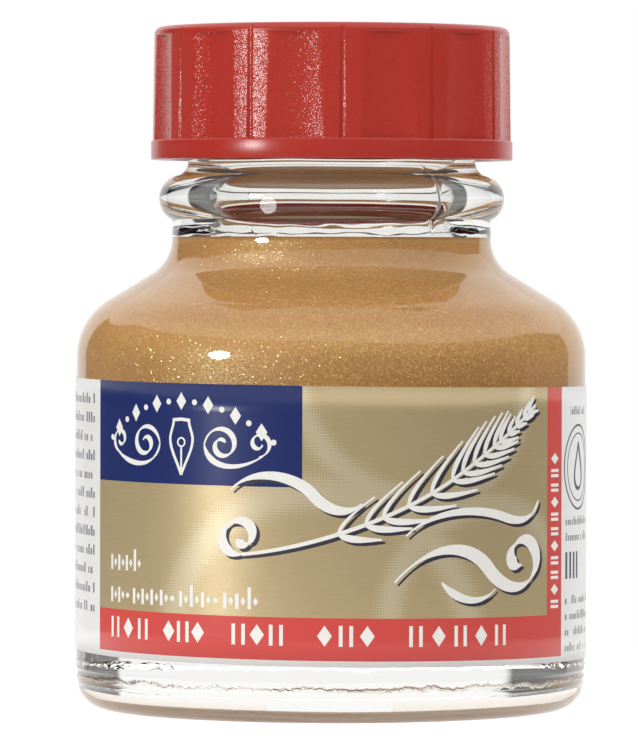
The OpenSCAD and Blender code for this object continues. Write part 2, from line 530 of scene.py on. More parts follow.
def label_print():
    """The printed face: satin gold front, navy corner, red band and stripe, white surround."""
    made, tree, shader = material("printed label", IOR=1.46, Specular_IOR_Level=0.25,
                                  Coat_Weight=0.4, Coat_Roughness=0.22)
    uv = add(tree, "ShaderNodeUVMap", uv_map="print")
    u, v = (axis * (1 / MM) for axis in coordinates(tree, uv.outputs[0])[:2])

    def zone(left, right, low, high):
        node = use_group(tree, ZONE, U=u, V=v, Left=left, Right=right, Low=low, High=high)
        return Field(tree, node.outputs["Mask"])

    top = LABEL_TOP_Z + 1
    front = zone(-FRONT_HALF, FRONT_HALF, BAND_LOW, top)
    gold = zone(-FRONT_HALF, FRONT_HALF - STRIPE_W, BAND_HIGH, top)
    navy = zone(-FRONT_HALF, NAVY_RIGHT, NAVY_LOW, top)

    # Pale swashes of fine dots across the gold, along three broad soft arcs
    dot_pitch, dot_strength = 0.24, 0.55
    across, upward = u / dot_pitch, v / dot_pitch
    dots = maths("SINE", (across + upward) * math.pi) * maths("SINE", (across - upward) * math.pi)
    swashes = []
    for centre_u, centre_v, radius, half_width in (
        (-1.0, 6.0, 13.5, 2.2), (14.5, 9.0, 9.5, 1.7), (8.0, 30.0, 11.0, 1.6),
    ):
        off_u, off_v = u - centre_u, v - centre_v
        gap = abs(maths("SQRT", off_u * off_u + off_v * off_v) - radius)
        swashes.append((1.0 - gap / half_width).clamped())
    halftone = (largest(*swashes) * 1.15 > dots * 0.5 + 0.5) * dot_strength

    tooth = cloud(tree, object_place(tree), 2600.0, 2.0)
    mottle = cloud(tree, object_place(tree), 260.0, 3.0)
    brushed = add(tree, "ShaderNodeCombineXYZ", X=u * 0.5, Y=v * 8.0)
    streak = cloud(tree, brushed.outputs[0], 1.0, 3.0)

    satin = blend_colours(tree, mottle, colour(204, 184, 144), colour(197, 176, 134))
    satin = blend_colours(tree, streak * 0.6, satin, colour(180, 159, 116))
    satin = blend_colours(tree, halftone, satin, colour(224, 212, 180))
    face = blend_colours(tree, front, colour(234, 233, 230), colour(210, 74, 68))
    face = blend_colours(tree, gold, face, satin)
    face = blend_colours(tree, navy, face, colour(20, 38, 100))

    # Fine print on the white sides and back, in columns
    for left, right, low, high, pitch, block, seed in (
        (-43.0, -25.4, 8.1, 27.6, 1.62, 0.6, 1.0),
        (25.0, 33.0, 14.95, 17.65, 1.35, 0.45, 5.0),
        (25.0, 35.0, 5.4, 10.9, 1.35, 0.52, 7.0),
        (26.2, 31.0, 25.7, 27.05, 1.35, 0.5, 3.0),
        (-64.0, -46.5, 6.2, 27.0, 1.3, 0.5, 9.0),
        (38.0, 60.0, 6.2, 27.0, 1.3, 0.5, 11.0),
    ):
        rows = use_group(tree, WORD_ROWS, U=u, V=v, Row_pitch=pitch, Block=block, Seed=seed)
        ink = Field(tree, rows.outputs["Mask"]) * zone(left, right, low, high)
        face = blend_colours(tree, ink * 0.8, face, colour(66, 68, 92))

    # Painted glow: seen from inside the bottle, the paper shines with its own printed colour,
    # standing in for the light that comes through it
    painted_glow_through_paper = 0.9
    metal = gold * (1.0 - navy)
    feed(tree, shader, Base_Color=face, Metallic=metal * 0.38,
         Roughness=tooth * 0.08 + 0.46 - metal * 0.12,
         Normal=bumped(tree, tooth, 0.35, 0.00002), Emission_Color=face,
         Emission_Strength=rays(tree, "Transmission")[0] * painted_glow_through_paper)
    return made


def print_ink(name, tone, roughness):
    """A printed film: a plain tone, very slightly uneven, with a satin face."""
    made, tree, shader = material(name, Roughness=roughness, IOR=1.46)
    uneven = cloud(tree, object_place(tree), 1800.0, 2.0)
    darker = tuple(0.9 * c for c in tone[:3]) + (1.0,)
    feed(tree, shader, Base_Color=blend_colours(tree, uneven, darker, tone),
         Normal=bumped(tree, uneven, 0.2, 0.00001))
    return made


def red_plastic():
    """Moulded red polypropylene. The grip has spark-eroded grain, the rest is smooth."""
    made, tree, shader = material("red moulded plastic", IOR=1.49, Specular_IOR_Level=0.5)
    place = object_place(tree)
    mark = add(tree, "ShaderNodeAttribute", attribute_name="grip")
    grip = Field(tree, mark.outputs["Fac"])
    grain = use_group(tree, GRAIN, Vector=place, Scale=6500.0, Coarseness=0.3)
    mask = Field(tree, grain.outputs["Mask"])
    red = blend_colours(tree, cloud(tree, place, 90.0, 3.0), colour(178, 46, 35),
                        colour(186, 53, 41))
    red = blend_colours(tree, mask * grip * 0.12, red, colour(222, 96, 84))
    relief = Field(tree, grain.outputs["Height"]) * (grip * 0.96 + 0.04)
    facets = use_group(tree, FLECKS, Vector=place, Scale=10500.0, Tilt=grip * 0.26, Share=0.55,
                       Normal=bumped(tree, relief, 1.0, 0.00002))
    feed(tree, shader, Base_Color=red, Roughness=mask * 0.03 + 0.24 - grip * 0.09,
         Normal=facets.outputs["Normal"])
    return made


def liner_foam():
    """White foamed wad with a film face: closed cells show through as a soft mottle."""
    made, tree, shader = material("liner foam", Roughness=0.5, IOR=1.45)
    cells = add(tree, "ShaderNodeTexVoronoi", Vector=object_place(tree), Scale=2400.0)
    wall = cells.outputs["Distance"]
    feed(tree, shader, Normal=bumped(tree, wall, 0.4, 0.00004),
         Base_Color=blend_colours(tree, wall, colour(238, 238, 234), colour(222, 221, 215)))
    return made


def floor_paper():
    """White paper. It is nearly white to the camera and dimmer in the glass, and it throws no
    light of its own on the bottle."""
    made, tree, shader = material("floor paper", Roughness=0.9, Specular_IOR_Level=0.1,
                                  Emission_Color=(1, 1, 1, 1))
    fibre = cloud(tree, object_place(tree), 300.0, 2.0)
    tone = blend_colours(tree, fibre, (0.86, 0.86, 0.86, 1), (0.9, 0.9, 0.9, 1))
    camera, glossy, diffuse = rays(tree, "Camera", "Glossy", "Diffuse")
    glow = largest(glossy * 0.4 + 0.2, camera * 0.85) * (1.0 - diffuse)
    feed(tree, shader, Base_Color=tone, Emission_Strength=glow)
    return made


# ---------------------------------------------------------------- glass and ink


def glass_outside():
    """Outline of the glass from the middle of the base up and over the rim."""
    ring_r = BODY_R - HEEL_R - RING_W
    dome_r = (ring_r ** 2 + PUSH_UP ** 2) / (2 * PUSH_UP)
    dome_end = 90 - math.degrees(math.asin(ring_r / dome_r))
    bead_x = BEAD_R - BEAD_ROUND
    bead_start = -math.degrees(math.acos((NECK_R - bead_x) / BEAD_ROUND))
    blend_x = ROOT_R + BLEND_R - bead_x
    blend_up = math.sqrt((BEAD_ROUND + BLEND_R) ** 2 - blend_x ** 2)
    bead_end = math.degrees(math.atan2(blend_up, blend_x))
    return tidy(
        arc((0, PUSH_UP - dome_r), dome_r, 90, dome_end, 12)
        + line((ring_r, 0), (BODY_R - HEEL_R, 0), 10)
        + arc((BODY_R - HEEL_R, HEEL_R), HEEL_R, -90, 0, 16)
        + line((BODY_R, HEEL_R), (BODY_R, SHOULDER_Z), 14)
        + s_curve((BODY_R - SHOULDER_R, SHOULDER_Z), SHOULDER_R,
                  (NECK_R + NECK_FILLET_R, NECK_Z), NECK_FILLET_R, 20)
        + arc((bead_x, BEAD_Z), BEAD_ROUND, bead_start, bead_end, 24)
        + arc((ROOT_R + BLEND_R, BEAD_Z + blend_up), BLEND_R, 180 + bead_end, 180, 8)
        + line((ROOT_R, BEAD_Z + blend_up + 0.1), (ROOT_R, RIM_Z - RIM_OUT - 0.05), 58)
        + arc((ROOT_R - RIM_OUT, RIM_Z - RIM_OUT), RIM_OUT, 0, 90, 10)
    )


def cavity(grow=0.0):
    """Outline of the inside from the middle of the floor up to the rim, grown into the wall."""
    inner_r = BODY_R - WALL + grow
    floor = FLOOR_Z - grow
    shoulder = SHOULDER_R - WALL + grow
    fillet = INNER_FILLET_R - grow
    bore = BORE_R + grow
    return tidy(
        line((0, floor + FLOOR_CROWN), (inner_r - INNER_HEEL_R - grow, floor), 10)
        + arc((inner_r - INNER_HEEL_R - grow, floor + INNER_HEEL_R + grow),
              INNER_HEEL_R + grow, -90, 0, 14)
        + line((inner_r, floor + INNER_HEEL_R + grow), (inner_r, SHOULDER_Z), 16)
        + s_curve((inner_r - shoulder, SHOULDER_Z), shoulder,
                  (bore + fillet, NECK_Z - 1.3), fillet, 14)
        + line((bore, NECK_Z - 1.3), (bore, NECK_Z + 2.6), 14)
        + line((bore, NECK_Z + 2.6), (bore, RIM_Z - RIM_IN), 10)
        + arc((bore + RIM_IN - grow, RIM_Z - RIM_IN), RIM_IN - grow, 180, 90, 8)
    )


def mould_drift(r, z, angle):
    """How far the inside of moulded glass is out of true at one place: (outwards, upwards)."""
    a = math.radians(angle)
    spot = Vector((r * math.cos(a), r * math.sin(a), z))
    wall = noise.noise(spot * 0.2) * 0.11
    low = max(0.0, min(1.0, (FLOOR_Z + 3 - z) / 3))
    floor = noise.noise(spot * 0.13 + Vector((7, 3, 1))) * 0.9 * low
    tide = math.exp(-((z - INK_Z - 1.1) / 0.9) ** 2)
    froth = noise.noise(Vector((spot.x * 0.5, spot.y * 0.5, z * 1.6))) * 0.07 * tide
    rim = max(0.0, min(1.0, (RIM_Z - z) / 2))
    return (wall + froth) * rim, floor


def make_glass():
    """One piece of glass: outside, rim and inside, with thread, seams and a ridged foot."""
    outside = glass_outside()
    inside = cavity()
    outline = outside + inside[::-1]
    turn = len(outside)
    ring_low = BODY_R - HEEL_R - RING_W
    ring_high = BODY_R - HEEL_R
    angles = even_angles(KNURLS * 4)
    for seam in (SEAM_TURN, SEAM_TURN + 180):
        angles += [(seam + off) % 360 for off in (-1.1, -0.7, -0.4, -0.15, 0.15, 0.4, 0.7, 1.1)]
    angles = sorted(set(round(a, 3) for a in angles))

    def seam_height(z, angle):
        """The fine raised lines where the halves of the neck's mould met."""
        off = (angle - SEAM_TURN + 90) % 180 - 90
        return SEAM_H * math.exp(-((off / 0.6) ** 2)) * max(0.0, min(1.0, (z - SEAM_LOW_Z) / 3))

    def place(r, z, angle, index):
        if index < turn:
            if r == ROOT_R and z > BEAD_Z + BEAD_ROUND + 0.8:
                r += ridge_height(z, angle, THREAD_Z, 0.0, THREAD_TURNS, THREAD_H, 2.4, 1.0)
            elif z > SEAM_LOW_Z and r > ROOT_R + 0.1:
                wobble = 0.9 * noise.noise(Vector((z * 0.7, 0, 5)))
                r += seam_height(z, angle + wobble)
            elif z < 1e-6 and ring_low + 0.6 < r < ring_high - 0.2:
                z += KNURL_DEPTH * (0.5 - 0.5 * math.cos(math.radians(angle) * KNURLS))
            return min(r, BODY_R), z
        out, up = mould_drift(r, z, angle)
        return r + out, z + up

    return lathe("bottle_glass", outline, angles, place)


def make_ink():
    """The ink, pressed a little way into the glass so that no air shows between them."""
    outline = [p for p in cavity(grow=0.16) if p[1] < INK_Z]
    edge = outline[-1][0]
    surface = [(edge, INK_Z + 0.35), (edge - 0.35, INK_Z + 0.1), (edge - 0.9, INK_Z - 0.02)]
    surface += line((edge - 1.6, INK_Z - 0.05), (0, INK_Z - 0.05), 6)
    wall = len(outline)

    def place(r, z, angle, index):
        out, up = mould_drift(r, z, angle) if index < wall else (0.0, 0.0)
        return r + out, z + up

    return lathe("gold_ink", outline + surface, even_angles(160), place)


# ---------------------------------------------------------------- cap and liner


def cap_angles():
    """Turns round the cap, closer together at every crisp edge."""
    half_rib = RIB_ANGLE / 2
    split = math.degrees(SPLIT_HALF / GRIP_R)
    one_side = [0.0, 0.18, 0.5 * split, split - 0.12, split, split + 0.14, split + 0.5, 2.6, 3.6,
                half_rib - 0.9, half_rib - 0.22, half_rib - 0.05, half_rib + 0.12, half_rib + 0.6]
    one_side += [half_rib + 0.6 + (15 - half_rib - 0.6) * k / 7 for k in range(1, 8)]
    whole = [-a for a in one_side[::-1]][1:] + one_side[1:]
    whole = sorted(set(round(a, 4) for a in whole + [0.0]))
    angles = []
    for k in range(FLUTES):
        angles += [SPLIT_TURN - 90 + FLUTE_PITCH * k + a for a in whole]
    return sorted(set(round(a % 360, 4) for a in angles))


def flute_limit(angle):
    """(radius that a flute leaves, radius that the split leaves) at one turn of the cap."""
    off = (angle - SPLIT_TURN + 90 + FLUTE_PITCH / 2) % FLUTE_PITCH - FLUTE_PITCH / 2
    half_rib = RIB_ANGLE / 2
    flute_half = math.radians(FLUTE_PITCH / 2 - half_rib)
    reach = GRIP_R * math.cos(flute_half)
    reach += math.sqrt(FLUTE_R ** 2 - (GRIP_R * math.sin(flute_half)) ** 2)
    from_middle = math.radians(FLUTE_PITCH / 2 - abs(off))
    flute = 99.0
    if abs(off) > half_rib - 0.3:
        spread = reach * math.sin(from_middle)
        if abs(spread) < FLUTE_R:
            flute = reach * math.cos(from_middle) - math.sqrt(FLUTE_R ** 2 - spread ** 2)
    across = abs(GRIP_R * math.sin(math.radians(off)))
    split = 99.0
    if across < SPLIT_HALF:
        depth = SPLIT_DEPTH * (1 - across / SPLIT_HALF)
        split = GRIP_R - min(depth, 0.6 * SPLIT_DEPTH)
    return flute, split


def make_cap():
    """Flutes and split ribs over a plain band, and a threaded bore under a flat top."""
    angles = cap_angles()
    limits = {a: flute_limit(a) for a in angles}
    grip_z = CAP_Z + BAND_H
    flute_top = CAP_TOP_Z - CROWN_R - 0.1
    ceiling = LINER_TOP_Z + 0.02
    crown = (GRIP_TOP_R - CROWN_R, CAP_TOP_Z - CROWN_R)
    slope = (GRIP_R - GRIP_TOP_R) / (crown[1] - grip_z)

    wall_rows = [grip_z + 0.02, grip_z + 0.1]
    wall_rows += [grip_z + 0.1 + (flute_top - grip_z - 0.3) * k / 12 for k in range(1, 13)]
    wall_rows += [flute_top - 0.12, flute_top - 0.06, flute_top - 0.02, flute_top + 0.03,
                  flute_top + 0.08]
    outline = tidy(
        [(CAP_BORE_R + 0.4, CAP_Z)]
        + arc((BAND_R - 0.12, CAP_Z + 0.12), 0.12, -90, 0, 3)
        + arc((BAND_R - 0.12, grip_z - 0.12), 0.12, 0, 90, 3)
        + [(GRIP_R + 0.02, grip_z)]
        + [(GRIP_R - slope * (z - grip_z), z) for z in wall_rows]
        + arc(crown, CROWN_R, 0, 90, 9)
        + line((GRIP_TOP_R - CROWN_R - 0.3, CAP_TOP_Z), (0.9, CAP_TOP_Z), 9)
        + [(0.75, CAP_TOP_Z - 0.1), (0.35, CAP_TOP_Z - 0.1), (0.28, CAP_TOP_Z - 0.02),
           (0, CAP_TOP_Z - 0.02), (0, ceiling)]
    )
    outer_count = len(outline)
    bore_rows = [(CAP_BORE_R, z) for _, z in line((0, RIM_Z - 0.6), (0, CAP_Z + 0.4), 54)]
    outline = tidy(
        outline
        + line((2, ceiling), (CAP_BORE_R - 0.1, ceiling), 5)
        + [(CAP_BORE_R, ceiling - 0.1), (CAP_BORE_R, RIM_Z - 0.55)]
        + bore_rows
    )

    def place(r, z, angle, index):
        if index < outer_count:
            flute, split = limits[angle]
            if grip_z + 0.01 < z and r > GRIP_R - 1.2:
                r = min(r, split)
                if z < flute_top:
                    r = min(r, flute)
            return r, z
        if r == CAP_BORE_R and z < RIM_Z - 0.5:
            lip = max(0.0, 1 - abs(z - (RIM_Z - 0.85)) / 0.25) * 0.5
            ridge = ridge_height(z, angle, THREAD_Z - CAP_RIDGE_DROP, CAP_RIDGE_LEAD, CAP_TURNS,
                                 CAP_RIDGE_H, 1.9, 0.8)
            return r - max(lip, ridge), z
        return r, z

    cap = lathe("screw_cap", outline, angles, place, closed=True)
    grip = cap.data.attributes.new("grip", "FLOAT", "POINT")
    for vertex, value in zip(cap.data.vertices, grip.data):
        z = vertex.co.z / MM
        radius = math.hypot(vertex.co.x, vertex.co.y) / MM
        value.value = 1.0 if radius > 14.6 and grip_z < z < flute_top + 0.06 else 0.0
    return cap


def make_liner():
    """A round wad with a shallow groove where the rim has pressed it."""
    low, high = LINER_Z, LINER_TOP_Z
    outline = tidy(
        [(0, low)]
        + line((2, low), (9.9, low), 4)
        + [(10.2, low + 0.02), (10.5, low + 0.06), (11.4, low + 0.06), (11.7, low + 0.02)]
        + [(12.0, low)]
        + arc((LINER_R - 0.12, low + 0.12), 0.12, -90, 0, 3)
        + arc((LINER_R - 0.12, high - 0.12), 0.12, 0, 90, 3)
        + line((12, high), (0, high), 5)
    )
    return lathe("cap_liner_wad", outline, even_angles(120))


# ---------------------------------------------------------------- label sheet


def wrap(u, v, lift=0.0):
    """A place on the label, u round it from the front's middle and v up, on the bottle."""
    a = u / PRINT_R
    r = PRINT_R + lift
    return r * math.sin(a), -r * math.cos(a), v + SKEW * u


def make_label():
    """The sheet, a closed solid with its own flat layout as UVs."""
    half = math.radians(180 - SHEET_GAP / 2) * PRINT_R
    columns = [-half + 2 * half * k / 320 for k in range(321)]
    rows = [LABEL_Z + (LABEL_TOP_Z - LABEL_Z) * k / 10 for k in range(11)]
    vertices, faces, flat = [], [], []
    for lift in (0.0, -SHEET_T + 0.01):
        for v in rows:
            for u in columns:
                vertices.append(wrap(u, v, lift))
                flat.append((u * MM, v * MM))
    n = len(columns)
    layer = n * len(rows)
    for j in range(len(rows) - 1):
        for k in range(n - 1):
            a = j * n + k
            faces.append((a, a + 1, a + n + 1, a + n))
            b = a + layer
            faces.append((b, b + n, b + n + 1, b + 1))
    top = (len(rows) - 1) * n
    for k in range(n - 1):
        faces.append((k + layer, k + 1 + layer, k + 1, k))
        faces.append((top + k, top + k + 1, top + k + 1 + layer, top + k + layer))
    for j in range(len(rows) - 1):
        a = j * n
        faces.append((a, a + n, a + n + layer, a + layer))
        b = a + n - 1
        faces.append((b + n, b, b + layer, b + n + layer))
    label = mesh_piece("wrap_label", vertices, faces)
    uvs = label.data.uv_layers.new(name="print")
    for loop in label.data.loops:
        uvs.data[loop.index].uv = flat[loop.vertex_index]
    return label


# ---------------------------------------------------------------- printed strokes and marks


PRINT_INPUTS = {
    "Radius": ("NodeSocketFloat", 0.022), "Skew": ("NodeSocketFloat", 0.0),
    "Film": ("NodeSocketFloat", 0.00001), "Ink": ("NodeSocketMaterial", None),
}


def geometry_tree(name, *wanted):
    """A tree with a geometry input and the wanted print inputs.

    Returns the tree, its inputs by name and its end node.
    """
    tree = bpy.data.node_groups.new(name, "GeometryNodeTree")
    face = tree.interface
    face.new_socket("Geometry", in_out="INPUT", socket_type="NodeSocketGeometry")
    for label in wanted:
        kind, default = PRINT_INPUTS[label]
        socket = face.new_socket(label, in_out="INPUT", socket_type=kind)
        if default is not None:
            socket.default_value = default
    face.new_socket("Geometry", in_out="OUTPUT", socket_type="NodeSocketGeometry")
    source = add(tree, "NodeGroupInput")
    get = {label: Field(tree, source.outputs[label]) for label in ("Geometry", *wanted)}
    return tree, get, add(tree, "NodeGroupOutput")


def wrap_tree():
    """Lays flat print, x along, y up and z proud of the sheet, round the label."""
    tree, get, end = geometry_tree("lay on label", "Radius", "Skew")
    x, y, z = coordinates(tree, add(tree, "GeometryNodeInputPosition").outputs[0])
    angle, reach = x / get["Radius"], get["Radius"] + z
    laid = add(tree, "ShaderNodeCombineXYZ", X=reach * maths("SINE", angle),
               Y=reach * maths("COSINE", angle) * -1.0, Z=x * get["Skew"] + y)
    moved = add(tree, "GeometryNodeSetPosition", Geometry=get["Geometry"],
                Position=laid.outputs[0])
    feed(tree, end, Geometry=moved.outputs[0])
    return tree


def finish_print(tree, get, end, solid, wrapping):
    """Presses solid print to its film's thickness, lays it on the label and inks it."""
    x, y, z = coordinates(tree, add(tree, "GeometryNodeInputPosition").outputs[0])
    flat = add(tree, "ShaderNodeCombineXYZ", X=x, Y=y, Z=maths("SIGN", z) * get["Film"])
    pressed = add(tree, "GeometryNodeSetPosition", Geometry=solid.outputs[0],
                  Position=flat.outputs[0])
    laid = use_group(tree, wrapping, Geometry=pressed.outputs[0], Radius=get["Radius"],
                     Skew=get["Skew"])
    real = add(tree, "GeometryNodeRealizeInstances", Geometry=laid.outputs[0])
    inked = add(tree, "GeometryNodeSetMaterial", Geometry=real.outputs[0], Material=get["Ink"])
    feed(tree, end, Geometry=inked.outputs[0])
    return tree


def strokes_tree(wrapping):
    """Pen strokes: each curve becomes a flat film as wide as its own radius says."""
    tree, get, end = geometry_tree("pen strokes", *PRINT_INPUTS)
    width = add(tree, "GeometryNodeInputNamedAttribute", data_type="FLOAT", Name="radius")
    upright = add(tree, "GeometryNodeSetCurveNormal", mode="Z_UP", Curve=get["Geometry"])
    nib = add(tree, "GeometryNodeCurvePrimitiveQuadrilateral", Width=2.0, Height=2.0)
    swept = add(tree, "GeometryNodeCurveToMesh", Curve=upright.outputs[0],
                Profile_Curve=nib.outputs[0], Scale=width.outputs[0], Fill_Caps=True)
    return finish_print(tree, get, end, swept, wrapping)


def marks_tree(wrapping):
    """Small bars, lozenges and dots, one on each point, as big as the point says."""
    tree, get, end = geometry_tree("print marks", *PRINT_INPUTS)
    size = add(tree, "GeometryNodeInputNamedAttribute", data_type="FLOAT_VECTOR", Name="size")
    kind = add(tree, "GeometryNodeInputNamedAttribute", data_type="FLOAT", Name="kind")
    shapes = (
        add(tree, "GeometryNodeCurvePrimitiveQuadrilateral", Width=1.0, Height=1.0),
        add(tree, "GeometryNodeCurvePrimitiveCircle", Resolution=4, Radius=0.5),
        add(tree, "GeometryNodeCurvePrimitiveCircle", Resolution=16, Radius=0.5),
    )
    joined = add(tree, "GeometryNodeJoinGeometry")
    for number, shape in zip((BAR, LOZENGE, DOT), shapes):
        filled = add(tree, "GeometryNodeFillCurve", mode="NGONS", Curve=shape.outputs[0])
        lifted = add(tree, "GeometryNodeSetPosition", Geometry=filled.outputs[0],
                     Offset=add(tree, "ShaderNodeCombineXYZ", Z=-1.0).outputs[0])
        block = add(tree, "GeometryNodeExtrudeMesh", mode="FACES", Mesh=lifted.outputs[0],
                    Offset=(0.0, 0.0, 1.0), Offset_Scale=2.0, Individual=False)
        back = add(tree, "GeometryNodeFlipFaces", Mesh=lifted.outputs[0])
        solid = add(tree, "GeometryNodeJoinGeometry")
        feed(tree, solid, Geometry=block.outputs[0])
        feed(tree, solid, Geometry=back.outputs[0])
        here = maths("COMPARE", Field(tree, kind.outputs[0]), float(number), 0.1)
        put = add(tree, "GeometryNodeInstanceOnPoints", Points=get["Geometry"], Selection=here,
                  Instance=solid.outputs[0], Scale=size.outputs[0])
        feed(tree, joined, Geometry=put.outputs[0])
    real = add(tree, "GeometryNodeRealizeInstances", Geometry=joined.outputs[0])
    sewn = add(tree, "GeometryNodeMergeByDistance", Geometry=real.outputs[0], Distance=1e-7)
    return finish_print(tree, get, end, sewn, wrapping)


def bake(source, tree, name, ink, film):
    """Runs a tree on an object and keeps the result as a plain mesh piece."""
    modifier = source.modifiers.new("print", "NODES")
    modifier.node_group = tree
    wanted = {"Radius": PRINT_R * MM, "Skew": SKEW, "Film": film * MM, "Ink": ink}
    for item in tree.interface.items_tree:
        if item.in_out == "INPUT" and item.name in wanted:
            modifier[item.identifier] = wanted[item.name]
    graph = bpy.context.evaluated_depsgraph_get()
    mesh = bpy.data.meshes.new_from_object(source.evaluated_get(graph))
    mesh.name = name
    for polygon in mesh.polygons:
        polygon.use_smooth = False
    piece = keep(name, mesh)
    bpy.data.objects.remove(source)
    return piece


NIB_ANGLE = math.radians(38)


def pen_widths(path, nib, hairline, press):
    """Half widths along a path drawn with a broad nib held at one angle, light at both ends."""
    widths = []
    last = len(path) - 1
    for i in range(len(path)):
        a, b = path[max(0, i - 1)], path[min(last, i + 1)]
        heading = math.atan2(b[1] - a[1], b[0] - a[0])
        broad = abs(math.sin(heading - NIB_ANGLE))
        t = i / last
        ends = min(1.0, t / press, (1 - t) / press) if press else 1.0
        ends = math.sin(ends * math.pi / 2)
        widths.append(0.5 * (hairline + (nib - hairline) * broad * ends))
    return widths


def bezier(points, steps=16):
    """A smooth path through chained cubic spans: start, handle, handle, end, handle, ..."""
    path = [points[0]]
    for i in range(0, len(points) - 3, 3):
        p0, p1, p2, p3 = points[i:i + 4]
        for k in range(1, steps + 1):
            t = k / steps
            s = 1 - t
            path.append(tuple(
                s ** 3 * p0[j] + 3 * s * s * t * p1[j] + 3 * s * t * t * p2[j] + t ** 3 * p3[j]
                for j in (0, 1)
            ))
    return path


def spiral(centre, start_r, end_r, start, turns, steps=40):
    """A scroll that winds in, start in degrees, turns negative for clockwise."""
    path = []
    for i in range(steps + 1):
        t = i / steps
        r = start_r + (end_r - start_r) * t ** 0.8
        a = math.radians(start + 360 * turns * t)
        path.append((centre[0] + r * math.cos(a), centre[1] + r * math.sin(a)))
    return path


def step(start, distance, angle):
    """The point at a distance and an angle from another."""
    return start[0] + distance * math.cos(angle), start[1] + distance * math.sin(angle)


def quill_strokes():
    """A feather quill in pen strokes: [(path, nib width, hairline, press)]."""
    shaft = bezier([(-7.6, 14.2), (-1.5, 14.8), (6.0, 17.6), (11.2, 21.0), (14.6, 23.2),
                    (17.2, 25.0), (19.9, 26.9)], 26)
    strokes = [(shaft, 0.55, 0.24, 0.25)]
    count = 15
    for side, longest, lean in ((1, 4.9, 38), (-1, 4.1, 34)):
        for k in range(count):
            t = 0.22 + 0.74 * k / (count - 1)
            index = int(t * (len(shaft) - 1))
            root = shaft[index]
            ahead, behind = shaft[min(index + 1, len(shaft) - 1)], shaft[index - 1]
            heading = math.atan2(ahead[1] - behind[1], ahead[0] - behind[0])
            full = math.sin(math.pi * min(1.0, 0.22 + 0.9 * (k + 1) / count)) ** 0.7
            length = longest * max(0.3, full)
            out = heading + side * math.radians(lean)
            far = heading + side * math.radians(lean) * 0.45
            mid = step(root, 0.55 * length, out)
            tip = step(mid, 0.55 * length, far)
            near = step(root, 0.2 * length, out + side * 0.35)
            strokes.append((bezier([root, near, mid, tip], 14), 0.78, 0.16, 0.5))
    return strokes


def scroll_strokes():
    """The flourishes round the quill: an entry scroll, a long underline and a closing knot."""
    foot = (-7.6, 14.2)
    return [
        (bezier([foot, (-9.2, 14.0), (-9.9, 15.6), (-8.9, 16.6), (-7.8, 17.6), (-6.2, 16.7),
                 (-6.8, 15.4), (-7.1, 14.8), (-7.9, 14.9), (-8.0, 15.5)], 18), 0.9, 0.16, 0.12),
        (bezier([(-8.6, 19.6), (-6.6, 21.6), (-3.0, 21.0), (-1.4, 19.2), (-0.2, 17.8),
                 (1.6, 17.6), (2.6, 18.6)], 20), 1.0, 0.16, 0.2),
        (bezier([(5.4, 12.0), (8.6, 15.6), (12.4, 15.4), (14.4, 13.0), (16.0, 11.1), (18.6, 11.0),
                 (19.8, 12.8), (20.8, 14.5), (18.9, 16.2), (17.4, 15.2), (16.2, 14.4),
                 (16.9, 12.9), (18.1, 13.4)], 20), 1.25, 0.16, 0.1),
        (bezier([(6.4, 15.9), (8.8, 18.2), (13.0, 18.4), (16.2, 17.4), (18.2, 16.8), (19.8, 17.4),
                 (20.3, 18.8)], 20), 0.95, 0.16, 0.18),
        (bezier([(9.6, 12.0), (11.2, 10.2), (13.6, 10.0), (15.0, 11.4)], 18), 0.8, 0.14, 0.3),
    ]


def emblem_strokes():
    """A plain pen nib between two scrolls, for the navy corner."""
    middle, low, high = -13.4, 20.7, 25.3
    strokes = []
    for side in (1, -1):
        def mirrored(*places):
            return [(middle + side * across, v) for across, v in places]

        cheek = mirrored((0, low), (0.5, low + 1.3), (1.25, low + 2.2), (1.15, low + 3.2),
                         (1.0, low + 3.9), (0.75, low + 4.2), (0.8, high))
        sweep = mirrored((2.3, 23.3), (2.6, 21.4), (5.2, 20.9), (7.6, 22.4))
        start = 180 if side > 0 else 0
        strokes += [
            (bezier(cheek, 12), 0.26, 0.2, 0),
            (spiral((middle + side * 4.0, 23.3), 1.7, 0.35, start, -1.4 * side), 0.5, 0.13, 0.2),
            (bezier(sweep, 14), 0.55, 0.12, 0.3),
            (spiral((middle + side * 7.3, 23.5), 1.15, 0.3, -90, 1.2 * side), 0.4, 0.12, 0.2),
        ]
    slit = [(middle, low + 0.1), (middle, low + 1.2), (middle, low + 2.3)]
    collar = [(middle - 0.9, high), (middle, high + 0.08), (middle + 0.9, high)]
    strokes.append((slit, 0.2, 0.12, 0))
    strokes.append((spiral((middle, low + 2.75), 0.36, 0.36, 0, 1.0, 20), 0.16, 0.14, 0))
    strokes.append((collar, 0.3, 0.24, 0))
    return strokes


def strokes_object(strokes, shift=(0.0, 0.0)):
    """The strokes as one curve object, flat, each point with its own radius."""
    curve = bpy.data.curves.new("strokes", "CURVE")
    curve.dimensions = "3D"
    for path, nib, hairline, press in strokes:
        widths = pen_widths(path, nib, hairline, press)
        spline = curve.splines.new("POLY")
        spline.points.add(len(path) - 1)
        for point, (u, v), half in zip(spline.points, path, widths):
            point.co = ((u + shift[0]) * MM, (v + shift[1]) * MM, 0.0, 1.0)
            point.radius = half * MM
    return keep("strokes", curve)


def marks_object(marks):
    """Marks as points: [(u, v, width, height, kind)], kind a BAR, LOZENGE or DOT."""
    mesh = bpy.data.meshes.new("marks")
    mesh.from_pydata([(u * MM, v * MM, 0.0) for u, v, _, _, _ in marks], [], [])
    mesh.attributes.new("size", "FLOAT_VECTOR", "POINT")
    mesh.attributes.new("kind", "FLOAT", "POINT")
    size, kind = mesh.attributes["size"], mesh.attributes["kind"]
    for i, (_, _, width, height, shape) in enumerate(marks):
        size.data[i].vector = (width * MM, height * MM, 1.0)
        kind.data[i].value = float(shape)
    return keep("marks", mesh)


